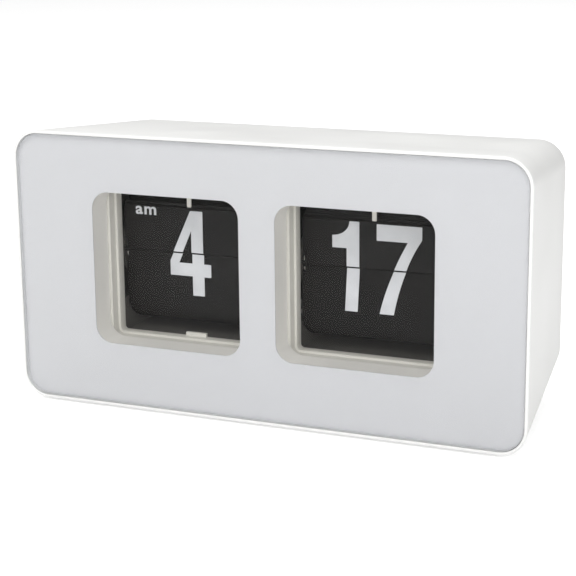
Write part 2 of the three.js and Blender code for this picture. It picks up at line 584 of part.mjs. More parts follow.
lead([[29.2, 19.6, 20.4], [34, 20, 16], [46, 22, 13.5], [62, 22, 15], [73, 15, 22],
  [77, 8, 34], [76, 3, 48], [71, 0, 56], [67.4, -1, 58.5]], redWire, "battery_lead_red");
lead([[29.2, 17.4, 19.6], [34, 16.5, 14], [46, 17, 11.5], [62, 17.5, 12.5], [74, 11, 20],
  [78.5, 4, 34], [77.5, -2, 48], [72, -4, 55], [67.4, -5.5, 58]], blackWire, "battery_lead_black");

export default clock;
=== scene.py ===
# %% [markdown]
# # A desk flip number clock
#
# The clock is a white moulded case that narrows towards the back. Its face is one flat glossy panel
# with two nearly square windows. Deep in each window a drum carries black cards that are printed
# with half numerals: the hour on the left, the minutes on the right. The upper card falls, and a new
# number is whole again. This file builds the looks of the clock around its packed mechanical frame.

# %% Load the frame
import json
import math

import bmesh
import bpy
from mathutils import Matrix, Vector


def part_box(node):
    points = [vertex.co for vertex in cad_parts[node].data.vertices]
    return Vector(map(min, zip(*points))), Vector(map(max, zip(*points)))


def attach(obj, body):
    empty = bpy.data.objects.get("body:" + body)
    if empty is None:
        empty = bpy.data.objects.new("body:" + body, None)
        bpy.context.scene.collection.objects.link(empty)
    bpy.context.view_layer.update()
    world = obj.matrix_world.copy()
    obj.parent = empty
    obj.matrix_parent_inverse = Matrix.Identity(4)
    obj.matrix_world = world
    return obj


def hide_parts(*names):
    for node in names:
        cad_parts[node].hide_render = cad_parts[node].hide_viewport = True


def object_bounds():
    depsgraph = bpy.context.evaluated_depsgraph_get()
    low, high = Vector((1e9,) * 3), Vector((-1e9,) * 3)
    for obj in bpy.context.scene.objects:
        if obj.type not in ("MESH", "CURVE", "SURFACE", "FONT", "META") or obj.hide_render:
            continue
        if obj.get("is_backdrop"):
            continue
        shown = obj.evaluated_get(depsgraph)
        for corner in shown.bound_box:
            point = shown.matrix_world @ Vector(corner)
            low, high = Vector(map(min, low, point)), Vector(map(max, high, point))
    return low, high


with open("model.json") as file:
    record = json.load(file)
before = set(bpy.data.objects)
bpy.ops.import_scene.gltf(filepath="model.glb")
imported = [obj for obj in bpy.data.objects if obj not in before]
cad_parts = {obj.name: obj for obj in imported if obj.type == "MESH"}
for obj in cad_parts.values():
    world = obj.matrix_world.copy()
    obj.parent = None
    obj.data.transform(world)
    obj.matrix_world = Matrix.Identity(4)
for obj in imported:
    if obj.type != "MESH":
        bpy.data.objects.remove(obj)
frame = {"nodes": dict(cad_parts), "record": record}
cad_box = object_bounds()
print("CAD box, lowest and highest corner in metres:", cad_box)

# %% [markdown]
# ## The measures that everything else follows
#
# Blender works in metres, and this object is easier to think of in millimetres, so every size below
# is written in millimetres and multiplied by MM. The places of the front, the back and the standing
# height are read from the frame. The rest are the maker's driving sizes: wall thickness, windows,
# the split line of the numerals and the size of one card. The windows are made 0.3 mm wider than those
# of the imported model, with their middles 0.35 mm further left.

# %% Driving sizes
MM = 0.001
shell_low, shell_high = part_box("case_shell")
FRONT = shell_low.y
BACK = shell_high.y
STAND = shell_low.z
WIDTH = 180 * MM
HEIGHT = 93.4 * MM
CORNER = 9.3 * MM
WALL = 2.4 * MM
SIDE_DRAFT, TOP_DRAFT, FLOOR_DRAFT = 7.6 * MM, 5.1 * MM, 7.3 * MM
LIP_WIDTH, LIP_DEPTH = 1.1 * MM, 2.1 * MM
WINDOW_WIDTH, WINDOW_HEIGHT, WINDOW_CORNER = 53.5 * MM, 51.9 * MM, 6 * MM
WINDOW_Z = STAND + 47.65 * MM
WINDOW_WALL, WINDOW_DEPTH = 1.6 * MM, 11.5 * MM
WINDOW_EXTRA, WINDOW_SHIFT = 0.3 * MM, -0.35 * MM
LEFT_X, RIGHT_X = -33.87 * MM, 32.57 * MM
SPLIT_Z = STAND + 50.8 * MM
LEAF_Y = -15 * MM
LEAF_HALF_WIDTH, LEAF_LENGTH, LEAF_THICK = 25.1 * MM, 15.6 * MM, 0.4 * MM
PIVOT_RADIUS = 10.5 * MM
AXIS_Y = LEAF_Y + PIVOT_RADIUS
CORNER_STEPS = 16
print("case depth (mm):", round((BACK - FRONT) / MM, 2), " stands off by", round(STAND / MM, 2))

# %% [markdown]
# ## The camera
#
# A product picture of a small clock is taken from a little above and a little to one side with a
# long lens, so that its edges stay nearly parallel. The camera stands half a metre away and looks
# just below the middle of the face. It is made first, so that every later step can be looked at.

# %% Camera
CAMERA_PLACE = Vector((210.7 * MM, FRONT - 459.8 * MM, STAND + 170.7 * MM))
CAMERA_TARGET = Vector((-3.22 * MM, FRONT + 32 * MM, STAND + 38.63 * MM))
CAMERA_LENS = 101.31
CAMERA_ROLL = math.radians(-0.59)


def make_camera():
    data = bpy.data.cameras.new("camera")
    data.lens = CAMERA_LENS
    data.sensor_width = 36
    data.clip_start = 0.01
    camera = bpy.data.objects.new("camera", data)
    bpy.context.scene.collection.objects.link(camera)
    away = (CAMERA_PLACE - CAMERA_TARGET).normalized()
    right = Vector((0, 0, 1)).cross(away).normalized()
    up = away.cross(right)
    turned_right = math.cos(CAMERA_ROLL) * right + math.sin(CAMERA_ROLL) * up
    turned_up = -math.sin(CAMERA_ROLL) * right + math.cos(CAMERA_ROLL) * up
    turn = Matrix((turned_right, turned_up, away)).transposed()
    camera.matrix_world = Matrix.Translation(CAMERA_PLACE) @ turn.to_4x4()
    bpy.context.scene.camera = camera
    return camera


camera = make_camera()
print("camera stands", round((CAMERA_PLACE - CAMERA_TARGET).length, 3), "m from its target")

# %% [markdown]
# ## Materials
#
# Every finish is made of nodes. The helper below starts a Principled shader and sets the values
# that are the same all over on the shader's own sockets. Slow changes of tone and fine surface
# grain come from noise on Object coordinates, which stay put when the view or the pose changes.
# Moulded plastic is never perfectly even: it has a faint mottle in its gloss and a very fine
# orange-peel in its surface, and both are what tells it from a flat computer white.

# %% Material helpers
def new_finish(name, color, roughness, metallic=0.0, **sockets):
    material = bpy.data.materials.new(name)
    material.use_nodes = True
    shader = material.node_tree.nodes["Principled BSDF"]
    shader.inputs["Base Color"].default_value = (*color, 1)
    shader.inputs["Roughness"].default_value = roughness
    shader.inputs["Metallic"].default_value = metallic
    for socket, value in sockets.items():
        shader.inputs[socket.replace("_", " ")].default_value = value
    return material


def add_noise(material, scale, detail, stretch=(1, 1, 1)):
    nodes, links = material.node_tree.nodes, material.node_tree.links
    place = nodes.new("ShaderNodeTexCoord")
    mapping = nodes.new("ShaderNodeMapping")
    mapping.inputs["Scale"].default_value = stretch
    noise = nodes.new("ShaderNodeTexNoise")
    noise.inputs["Scale"].default_value = scale
    noise.inputs["Detail"].default_value = detail
    links.new(place.outputs["Object"], mapping.inputs["Vector"])
    links.new(mapping.outputs["Vector"], noise.inputs["Vector"])
    return noise


def vary_tone(material, scale, low, high, stretch=(1, 1, 1)):
    """The base colour drifts between two close tones."""
    nodes, links = material.node_tree.nodes, material.node_tree.links
    noise = add_noise(material, scale, 3.0, stretch)
    ramp = nodes.new("ShaderNodeValToRGB")
    ramp.color_ramp.elements[0].position = 0.3
    ramp.color_ramp.elements[1].position = 0.7
    ramp.color_ramp.elements[0].color = (*low, 1)
    ramp.color_ramp.elements[1].color = (*high, 1)
    links.new(noise.outputs["Fac"], ramp.inputs["Fac"])
    links.new(ramp.outputs["Color"], nodes["Principled BSDF"].inputs["Base Color"])


def vary_gloss(material, scale, low, high, stretch=(1, 1, 1)):
    """The roughness wanders between two values."""
    nodes, links = material.node_tree.nodes, material.node_tree.links
    noise = add_noise(material, scale, 2.0, stretch)
    spread = nodes.new("ShaderNodeMapRange")
    spread.inputs["From Min"].default_value = 0.3
    spread.inputs["From Max"].default_value = 0.7
    spread.inputs["To Min"].default_value = low
    spread.inputs["To Max"].default_value = high
    links.new(noise.outputs["Fac"], spread.inputs["Value"])
    links.new(spread.outputs["Result"], nodes["Principled BSDF"].inputs["Roughness"])


def add_grain(material, scale, strength, distance):
    """A fine bump over the whole surface; distance is its depth in metres."""
    nodes, links = material.node_tree.nodes, material.node_tree.links
    noise = add_noise(material, scale, 2.0)
    bump = nodes.new("ShaderNodeBump")
    bump.inputs["Strength"].default_value = strength
    bump.inputs["Distance"].default_value = distance
    links.new(noise.outputs["Fac"], bump.inputs["Height"])
    links.new(bump.outputs["Normal"], nodes["Principled BSDF"].inputs["Normal"])


def tint(red, green, blue):
    """A screen colour from 0 to 255 as the linear values that shaders use."""
    def linear(value):
        value /= 255
        return value / 12.92 if value <= 0.04045 else ((value + 0.055) / 1.055) ** 2.4
    return linear(red), linear(green), linear(blue)


# %% [markdown]
# The case is white ABS with a satin gloss. The inner display frame is the same kind of plastic in a
# warmer, creamier batch. The face is a cool white layer printed on the back of a clear acrylic
# sheet, so it shows no grain of its own, only the sheet's polish. The cream and the white of the
# window tunnels glow weakly. The plastic doesn't: the glow stands in for light that is thrown to and
# fro between the walls of a window.

# %% White, cream and printed finishes
def case_white():
    finish = new_finish("case_white_abs", tint(242, 242, 240), 0.34, IOR=1.5)
    vary_tone(finish, 9, tint(240, 240, 238), tint(244, 244, 242))
    vary_gloss(finish, 30, 0.28, 0.42)
    add_grain(finish, 1400, 0.18, 0.00003)
    return finish


def display_cream():
    finish = new_finish("display_cream", tint(212, 210, 202), 0.55,
                        Emission_Color=(1, 0.98, 0.93, 1), Emission_Strength=0.07)
    vary_tone(finish, 20, tint(209, 207, 199), tint(215, 213, 206))
    vary_gloss(finish, 60, 0.42, 0.58)
    add_grain(finish, 1800, 0.22, 0.00003)
    return finish


def face_print():
    finish = new_finish("face_print", tint(219, 220, 222), 0.55)
    vary_tone(finish, 6, tint(218, 219, 221), tint(220, 221, 224))
    return finish


def clear_sheet():
    """Thin clear acrylic: it mirrors a little, more at a slant, and lets everything else through."""
    finish = bpy.data.materials.new("clear_acrylic_sheet")
    finish.use_nodes = True
    nodes, links = finish.node_tree.nodes, finish.node_tree.links
    nodes.remove(nodes["Principled BSDF"])
    through = nodes.new("ShaderNodeBsdfTransparent")
    gloss = nodes.new("ShaderNodeBsdfGlossy")
    gloss.inputs["Roughness"].default_value = 0.04
    slant = nodes.new("ShaderNodeFresnel")
    slant.inputs["IOR"].default_value = 1.15
    blend = nodes.new("ShaderNodeMixShader")
    links.new(slant.outputs["Fac"], blend.inputs["Fac"])
    links.new(through.outputs["BSDF"], blend.inputs[1])
    links.new(gloss.outputs["BSDF"], blend.inputs[2])
    links.new(blend.outputs["Shader"], nodes["Material Output"].inputs["Surface"])
    return finish


WHITE = case_white()
# painted light: a copy of the case white that glows weakly, for the shaded walls of the window tunnels
TUNNEL_GLOW = new_finish("tunnel_white", tint(236, 234, 229), 0.55,
                    Emission_Color=(1, 0.99, 0.96, 1), Emission_Strength=0.13)
vary_tone(TUNNEL_GLOW, 20, tint(233, 231, 225), tint(239, 237, 232))
SHEET_EDGE = new_finish("sheet_sawn_edge", tint(236, 237, 238), 0.5)
vary_tone(SHEET_EDGE, 300, tint(233, 234, 235), tint(239, 240, 241))
CREAM = display_cream()
PRINT = face_print()
CLEAR = clear_sheet()

# %% [markdown]
# The cards are thin black vinyl. A faint sheen runs over them, and their numerals are screen
# printed in an opaque white ink that stands a few hundredths of a millimetre proud.

# %% Card, ink, metal and inner finishes
def card_black():
    finish = new_finish("card_black_vinyl", tint(18, 17, 16), 0.42, Specular_IOR_Level=0.25)
    vary_tone(finish, 40, tint(15, 14, 13), tint(21, 19, 18))
    vary_gloss(finish, 90, 0.36, 0.48)
    add_grain(finish, 2600, 0.3, 0.00002)
    return finish


def card_ink():
    finish = new_finish("card_white_ink", tint(212, 214, 217), 0.5)
    vary_tone(finish, 120, tint(205, 207, 210), tint(219, 221, 224))
    add_grain(finish, 3000, 0.2, 0.00001)
    return finish


def plain_moulding(name, color, roughness, **sockets):
    finish = new_finish(name, color, roughness, **sockets)
    vary_gloss(finish, 70, roughness - 0.08, roughness + 0.08)
    add_grain(finish, 1600, 0.2, 0.00003)
    return finish


def turned_steel():
    finish = new_finish("bright_zinc_steel", tint(190, 192, 196), 0.3, 1.0)
    vary_tone(finish, 60, tint(176, 178, 182), tint(202, 204, 207))
    vary_gloss(finish, 300, 0.22, 0.4, stretch=(0.1, 1, 1))
    return finish


def circuit_green():
    finish = new_finish("board_solder_mask", tint(38, 104, 60), 0.35)
    vary_tone(finish, 260, tint(30, 92, 52), tint(50, 120, 72), stretch=(1, 0.3, 1))
    return finish


def cell_sleeve():
    """A plain two-tone sleeve with no lettering: the tone changes a third of the way along."""
    finish = new_finish("cell_sleeve", tint(120, 130, 142), 0.3, 0.35)
    nodes, links = finish.node_tree.nodes, finish.node_tree.links
    place = nodes.new("ShaderNodeTexCoord")
    split = nodes.new("ShaderNodeSeparateXYZ")
    step = nodes.new("ShaderNodeMapRange")
    step.inputs["From Min"].default_value = 9.8 * MM
    step.inputs["From Max"].default_value = 10.2 * MM
    ramp = nodes.new("ShaderNodeValToRGB")
    ramp.color_ramp.elements[0].color = (*tint(70, 78, 88), 1)
    ramp.color_ramp.elements[1].color = (*tint(196, 150, 92), 1)
    links.new(place.outputs["Object"], split.inputs["Vector"])
    links.new(split.outputs["X"], step.inputs["Value"])
    links.new(step.outputs["Result"], ramp.inputs["Fac"])
    links.new(ramp.outputs["Color"], nodes["Principled BSDF"].inputs["Base Color"])
    return finish


BLACK = card_black()
INK = card_ink()
STEEL = turned_steel()
NYLON = plain_moulding("gear_nylon", tint(232, 230, 222), 0.45)
DARK = plain_moulding("works_black_abs", tint(72, 70, 66), 0.6)
# painted light: a lighter black with a faint glow, for the trough in the shade under the drums
TROUGH_GLOW = plain_moulding("trough_matt_black", tint(80, 78, 74), 0.85,
                        Emission_Color=(1, 0.97, 0.93, 1), Emission_Strength=0.009)
RUBBER = plain_moulding("foot_rubber", tint(58, 57, 56), 0.8)
BOARD = circuit_green()
CHIP = plain_moulding("chip_epoxy", tint(24, 25, 27), 0.55)
SLEEVE = cell_sleeve()
RED_WIRE = plain_moulding("lead_red_vinyl", tint(176, 36, 28), 0.45)
BLACK_WIRE = plain_moulding("lead_black_vinyl", tint(30, 30, 31), 0.45)
print("finishes:", len(bpy.data.materials))

# %% [markdown]
# The CAD pieces that keep their own shape only need a finish. The table below gives one to each
# material slot of the record, and the loop hands it to every node of that slot.

# %% Finishes for the CAD nodes
SLOT_FINISH = {
    "case_plastic": WHITE, "panel_print": PRINT, "clear_acrylic": CLEAR, "cream_plastic": CREAM,
    "leaf_black": BLACK, "nylon": NYLON, "steel": STEEL, "black_plastic": DARK, "board": BOARD,
    "chip": CHIP, "cell_wrap": SLEEVE, "wire_red": RED_WIRE, "wire_black": BLACK_WIRE,
    "foot_rubber": RUBBER,
}
for row in frame["record"]["subparts"]:
    node = frame["nodes"][row["node"]]
    node.data.materials.clear()
    # the trough under the drums lies in shade: it gets a lighter black than its slot and a faint glow,
    # painted light that brings it near the tone of the cards
    trough = row["node"] == "leaf_shield"
    node.data.materials.append(TROUGH_GLOW if trough else SLOT_FINISH[row["material_slot"]])
print("CAD nodes finished:", len(frame["nodes"]))

# %% [markdown]
# ## The case as one lofted shell
#
# The case is a rounded rectangle that shrinks and rises towards the back. A loft, rings of points
# joined by faces, follows that rule exactly, and the same rings can run on round the front rim, down
# into the recess for the panel, and back up the inside. Each ring is made by one formula, so the
# corners stay true arcs. Box modelling with a bevel would not keep the corner radius as it tapers.

# %% Ring and loft helpers
def section(y, inset=0.0):
    """The case's outer section at depth y, drawn in all round: width, height, middle, radius."""
    share = (y - FRONT) / (BACK - FRONT)
    bottom = STAND + FLOOR_DRAFT * share + inset
    top = STAND + HEIGHT - TOP_DRAFT * share - inset
    width = WIDTH - 2 * SIDE_DRAFT * share - 2 * inset
    return 0.0, (bottom + top) / 2, width, top - bottom, max(CORNER - inset, 0.6 * MM)


def ring(x, z, width, height, radius, y, steps=CORNER_STEPS):
    points = []
    for quarter in range(4):
        side_x = 1 if quarter in (0, 3) else -1
        side_z = 1 if quarter in (0, 1) else -1
        for step in range(steps + 1):
            angle = math.pi / 2 * (quarter + step / steps)
            points.append(Vector((
                x + side_x * (width / 2 - radius) + radius * math.cos(angle), y,
                z + side_z * (height / 2 - radius) + radius * math.sin(angle))))
    return points


def case_ring(y, inset=0.0):
    x, z, width, height, radius = section(y, inset)
    return ring(x, z, width, height, radius, y)


def lip_ring(y, extra=0.0):
    inset = LIP_WIDTH + extra
    return ring(0, STAND + HEIGHT / 2, WIDTH - 2 * inset, HEIGHT - 2 * inset, CORNER - inset, y)


def new_object(name, mesh):
    item = bpy.data.objects.new(name, mesh)
    bpy.context.scene.collection.objects.link(item)
    return item


def take_mesh(shape, name):
    mesh = bpy.data.meshes.new(name)
    shape.to_mesh(mesh)
    shape.free()
    return mesh


def hand_over(piece, body, slot, *nodes):
    """States the body that carries a piece and the CAD nodes it stands for; the slot is not used."""
    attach(piece, body)
    if nodes:
        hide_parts(*nodes)


def circle(radius, sides):
    return [(radius * math.cos(2 * math.pi * i / sides), radius * math.sin(2 * math.pi * i / sides))
            for i in range(sides)]


def loft(name, rings):
    """Joins rings of points into one skin and caps both ends, which makes it a solid."""
    shape = bmesh.new()
    rows = [[shape.verts.new(point) for point in points] for points in rings]
    for here, there in zip(rows, rows[1:]):
        count = len(here)
        for i in range(count):
            shape.faces.new((here[i], here[(i + 1) % count], there[(i + 1) % count], there[i]))
    shape.faces.new(rows[0])
    shape.faces.new(reversed(rows[-1]))
    bmesh.ops.recalc_face_normals(shape, faces=shape.faces)
    return new_object(name, take_mesh(shape, name))


def settle(item):
    """Applies what its modifiers make and leaves a plain mesh."""
    evaluated = item.evaluated_get(bpy.context.evaluated_depsgraph_get())
    mesh = bpy.data.meshes.new_from_object(evaluated)
    item.modifiers.clear()
    old = item.data
    item.data = mesh
    mesh.name = item.name
    bpy.data.meshes.remove(old)
    return item


def combine(base, tools, operation):
    """One boolean for each tool; the tools are used up."""
    for tool in tools:
        change = base.modifiers.new("combine", "BOOLEAN")
        change.operation = operation
        change.solver = "EXACT"
        change.object = tool
        settle(base)
        bpy.data.meshes.remove(tool.data)
    return base


def soften(item, width, segments=2, angle=35):
    """Rounds every crisp edge by a moulding radius."""
    change = item.modifiers.new("moulding radius", "BEVEL")
    change.width = width
    change.segments = segments
    change.limit_method = "ANGLE"
    change.angle_limit = math.radians(angle)
    change.harden_normals = False
    return settle(item)


def finish_mesh(item, finish, angle=32):
    """Smooth shading with crisp edges kept crisp, and one material."""
    item.data.materials.clear()
    item.data.materials.append(finish)
    item.data.polygons.foreach_set("use_smooth", [True] * len(item.data.polygons))
    item.data.set_sharp_from_angle(angle=math.radians(angle))
    item.data.update()
    return item


def arc_rings(make, y, run, inset, drop, steps=5):
    """Rings round a quarter-circle edge: y moves by `run` while the inset grows by `drop`."""
    rings = []
    for step in range(steps + 1):
        angle = math.pi / 2 * step / steps
        rings.append(make(y + run * math.sin(angle), inset + drop * (1 - math.cos(angle))))
    return rings


# %% [markdown]
# The shell's rings start inside at the front wall, run back along the inner wall, turn over the rear
# edge, come forward along the outside, turn over the front rim, and go down into the recess. Then
# two window tunnels are joined on and cut through. The cuts are booleans because a window is a hole
# in a flat wall, which a loft can't have.

# %% The shell
WALL_FRONT = FRONT + LIP_DEPTH
WALL_BACK = WALL_FRONT + WALL
RIM_ROUND, REAR_ROUND = 0.55 * MM, 1.2 * MM


def window_block(name, x, y0, y1, grow=0.0):
    width, height = WINDOW_WIDTH + WINDOW_EXTRA + 2 * grow, WINDOW_HEIGHT + 2 * grow
    shape = (x + WINDOW_SHIFT, WINDOW_Z, width, height, WINDOW_CORNER + grow)
    return loft(name, [ring(*shape, y0), ring(*shape, y1)])


def make_shell():
    rings = [case_ring(WALL_BACK, WALL), case_ring(BACK - 0.3 * MM, WALL)]
    rings.append(case_ring(BACK, WALL - 0.3 * MM))
    rings += reversed(arc_rings(case_ring, BACK - REAR_ROUND, REAR_ROUND, 0, REAR_ROUND))
    rings += [case_ring(BACK - (BACK - FRONT) * part / 4) for part in (1, 2, 3)]
    rings += arc_rings(case_ring, FRONT + RIM_ROUND, -RIM_ROUND, 0.02 * MM, RIM_ROUND)
    rings += [lip_ring(FRONT, -0.15 * MM), lip_ring(FRONT + 0.15 * MM), lip_ring(WALL_FRONT)]
    shell = loft("case_body", rings)
    tunnel_end = FRONT + WINDOW_DEPTH
    for name, x in (("left", LEFT_X), ("right", RIGHT_X)):
        wall = window_block(f"{name} wall", x, WALL_FRONT + MM, tunnel_end, WINDOW_WALL)
        hole = window_block(f"{name} hole", x, FRONT - MM, tunnel_end + MM)
        combine(shell, [wall], "UNION")
        combine(shell, [hole], "DIFFERENCE")
    finish_mesh(shell, WHITE, 28)
    # the faces that line a window get a glowing copy of the case white: painted light that stands in for
    # light thrown between the window walls
    shell.data.materials.append(TUNNEL_GLOW)
    side_limit, height_limit = WINDOW_WIDTH / 2 + 0.8 * MM, WINDOW_HEIGHT / 2 + 0.3 * MM
    for face in shell.data.polygons:
        across = min(abs(face.center.x - LEFT_X), abs(face.center.x - RIGHT_X))
        inside = across < side_limit and abs(face.center.z - WINDOW_Z) < height_limit
        if inside and abs(face.normal.y) < 0.5 and face.center.y < tunnel_end:
            face.material_index = 1
    return shell


shell = make_shell()
hand_over(shell, "case", "case_plastic", "case_shell")
print("shell faces:", len(shell.data.polygons))

# %% [markdown]
# ## The glossy front
#
# The face is taken to be one clear sheet, printed on its back. It is modelled as the two layers
# that such a sheet has: a thin opaque print with the two windows, and the clear sheet in front of it,
# whose polished edge catches the light inside the rim.

# %% The print and the clear sheet
SHEET_THICK, PRINT_THICK, SEAT = 1.5 * MM, 0.3 * MM, 0.05 * MM
PANEL_GAP = 0.15 * MM


def make_print():
    back = WALL_FRONT - SEAT
    layer = loft("front_print", [lip_ring(back - PRINT_THICK, PANEL_GAP), lip_ring(back, PANEL_GAP)])
    holes = [window_block("cut", x, FRONT - MM, back + MM, -0.02 * MM) for x in (LEFT_X, RIGHT_X)]
    return finish_mesh(combine(layer, holes, "DIFFERENCE"), PRINT, 30)


def make_sheet():
    back = WALL_FRONT - PRINT_THICK - 2 * SEAT
    face = back - SHEET_THICK
    edge = 0.25 * MM
    rings = arc_rings(lip_ring, face + edge, -edge, PANEL_GAP, edge, 3)
    clear = finish_mesh(loft("front_clear_sheet", [lip_ring(back, PANEL_GAP), *rings]), CLEAR, 25)
    # the sawn edge is frosted, so it hides the bottom of the recess
    clear.data.materials.append(SHEET_EDGE)
    for face in clear.data.polygons:
        face.material_index = int(abs(face.normal.y) < 0.5)
    return clear


hand_over(make_print(), "case", "panel_print", "front_mask")
hand_over(make_sheet(), "case", "clear_acrylic", "front_lens")

# %% [markdown]
# ## The inner display frame
#
# Behind each tunnel the cream display frame closes the gap between the case and the cards. Its
# opening steps in once, so from outside two shallow steps lead down to the cards. It is one
# moulding: a flat plate with two short collars.

# %% The display frame
FRAME_FRONT, FRAME_PLATE_BACK, FRAME_BACK = -23.2 * MM, -20.5 * MM, -16 * MM
FRAME_STEP_Y = -19.6 * MM
OPENING_HALF, OPENING_STEP, COLLAR_WALL = 25.5 * MM, 0.8 * MM, 1.3 * MM
OPENING_CORNER = 1.3 * MM
OPENING_LOW, OPENING_HIGH = STAND + 22.3 * MM, STAND + 76 * MM
REST_LEFT, REST_RIGHT = LEFT_X - 1.5 * MM, LEFT_X + 6.2 * MM
REST_FRONT, REST_TOP = -17.2 * MM, STAND + 23.6 * MM
frame_low, frame_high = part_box("display_frame")


def opening_block(name, x, y0, y1, grow):
    height = OPENING_HIGH - OPENING_LOW + 2 * grow
    middle = (OPENING_LOW + OPENING_HIGH) / 2
    shape = (x, middle, 2 * (OPENING_HALF + grow), height, OPENING_CORNER + max(grow, 0))
    return loft(name, [ring(*shape, y0, 8), ring(*shape, y1, 8)])


def block(name, low, high):
    shape = bmesh.new()
    bmesh.ops.create_cube(shape, size=1)
    for vertex in shape.verts:
        for axis in range(3):
            vertex.co[axis] = low[axis] if vertex.co[axis] < 0 else high[axis]
    return new_object(name, take_mesh(shape, name))


def make_display_frame():
    plate = block("display_surround", frame_low, (frame_high.x, FRAME_PLATE_BACK, frame_high.z))
    for x in (LEFT_X, RIGHT_X):
        collar = opening_block("collar", x, FRAME_FRONT + MM, FRAME_BACK, COLLAR_WALL)
        mouth = opening_block("mouth", x, FRAME_FRONT - MM, FRAME_STEP_Y, OPENING_STEP)
        through = opening_block("through", x, FRAME_FRONT - MM, FRAME_BACK + MM, 0)
        combine(plate, [collar], "UNION")
        combine(plate, [mouth, through], "DIFFERENCE")
    rest = block("leaf rest", (REST_LEFT, REST_FRONT, OPENING_LOW - 0.5 * MM),
                 (REST_RIGHT, FRAME_BACK, REST_TOP))
    combine(plate, [rest], "UNION")
    return finish_mesh(soften(plate, 0.15 * MM), CREAM)


display = make_display_frame()
hand_over(display, "case", "cream_plastic", "display_frame")
print("display frame faces:", len(display.data.polygons))

# %% [markdown]
# A small finger hangs from the top of each opening, in front of the cards. It holds the next card
# back until the drum has lowered it far enough to slip free. The finger is thin, with a rounded tip
# that lets the card slide off.

# %% The two retaining fingers
def make_finger(name, node):
    low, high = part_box(node)
    trim = 0.18 * MM
    finger = block(name, (low.x + trim, low.y, low.z + 0.3 * MM), (high.x - trim, high.y, high.z))
    return finish_mesh(soften(finger, 0.2 * MM, 3), CREAM)


for name, node in (("hour_finger", "hour_leaf_finger"), ("minute_finger", "minute_leaf_finger")):
    hand_over(make_finger(name, node), "case", "cream_plastic", node)

# %% [markdown]
# ## The numerals
#
# The numerals are a bold, narrow grotesque, about 29 mm tall, drawn here from a few corners and
# arcs. A two-dimensional curve with its holes is filled by Blender, made a mesh, stood upright and
# cut at the split line, so that each card carries exactly its half. A font file would be simpler,
# but none with this narrow shape comes with Blender.

# %% Outlines of the numerals
def arc(x, y, radius_x, radius_y, start, end, steps=14):
    """Points of an elliptical arc from one angle to another, in degrees."""
    points = []
    for step in range(steps + 1):
        angle = math.radians(start + (end - start) * step / steps)
        points.append((x + radius_x * math.cos(angle), y + radius_y * math.sin(angle)))
    return points


def sweep(start, pull, end, steps=12):
    """Points of a curve from start to end that is pulled towards a third point."""
    shares = [step / steps for step in range(steps + 1)]
    return [tuple((1 - t) ** 2 * a + 2 * t * (1 - t) * b + t * t * c
                  for a, b, c in zip(start, pull, end)) for t in shares]


def lozenge(x, y, half_width, half_height, bend):
    """A closed ring with straight sides and elliptical shoulders of height `bend`."""
    rise = half_height - bend
    top = arc(x, y + rise, half_width, bend, 0, 180)
    bottom = arc(x, y - rise, half_width, bend, 180, 360)
    return top + bottom


HALF_TALL = 14.7        # half the height of a numeral, mm


def numeral_one():
    top, stem_left, stem_right = HALF_TALL + 0.3, -2.2, 2.2
    flag = arc(stem_left - 5.0, top, 6.0, 4.9, -90, 0, 8)
    return [flag + [(stem_right, top), (stem_right, -HALF_TALL), (stem_left, -HALF_TALL),
            (stem_left, 6.0), (stem_left - 5.0, 6.0)]]


def numeral_four():
    outline = [(0.2, HALF_TALL), (4.8, HALF_TALL), (4.8, -3.5), (7.4, -3.5), (7.4, -8.0),
               (4.8, -8.0), (4.8, -HALF_TALL), (0.4, -HALF_TALL), (0.4, -8.0), (-8.0, -8.0),
               (-8.0, -3.0)]
    hole = [(0.4, 7.8), (0.4, -3.5), (-4.6, -3.5)]
    return [outline, hole]


def numeral_five():
    top, right = HALF_TALL, 7.0
    bowl_middle = -4.9
    outer = arc(0.2, bowl_middle, 6.8, 9.8, 112, -180, 26)
    inner = arc(0.2, bowl_middle, 2.4, 5.7, -180, 140, 26)
    outline = [(-5.6, top), (right - 0.6, top), (right - 0.6, top - 4.3), (-1.6, top - 4.3),
               (-2.1, 3.6)] + outer + inner
    outline += [(-6.4, 0.0)]
    return [outline]


def numeral_seven():
    top, bottom = HALF_TALL, -HALF_TALL
    bar = top - 5.4
    right_side = sweep((7.7, top - 4.3), (0.9, 0.2), (-1.2, bottom))
    left_side = sweep((-6.1, bottom), (-3.8, -2.5), (2.9, bar))
    return [[(-7.7, top), (7.7, top)] + right_side + left_side + [(-7.7, bar)]]


def numeral_eight():
    upper, lower = 7.0, -6.6
    outer_top = arc(0, upper, 6.7, 7.9, -38, 218, 26)
    outer_low = arc(0, lower, 7.3, 8.3, 142, 398, 26)
    return [outer_top + outer_low, lozenge(0, upper + 0.2, 2.5, 4.1, 2.6),
            lozenge(0, lower - 0.1, 2.9, 4.7, 2.9)]


NUMERALS = {"1": numeral_one, "4": numeral_four, "5": numeral_five, "7": numeral_seven,
            "8": numeral_eight}
print("numerals drawn:", " ".join(NUMERALS))

# %% [markdown]
# Each outline is laid flat in a curve first. The curve is filled, given the thickness of a layer of
# ink, and turned upright, so that its face looks forward.

# %% From outline to a half numeral on a card
INK_THICK = 0.04 * MM
SPLIT_GAP = 0.28 * MM
TOWARDS_VIEWER = Matrix.Rotation(math.radians(90), 4, "X")


def upright_ink(curve):
    """Fills a flat curve, stands it up to face forward, and uses the curve up."""
    curve.extrude = INK_THICK / 2
    holder = new_object("ink", curve)
    mesh = bpy.data.meshes.new_from_object(
        holder.evaluated_get(bpy.context.evaluated_depsgraph_get()))
    bpy.data.curves.remove(curve)
    mesh.transform(TOWARDS_VIEWER)
    return mesh


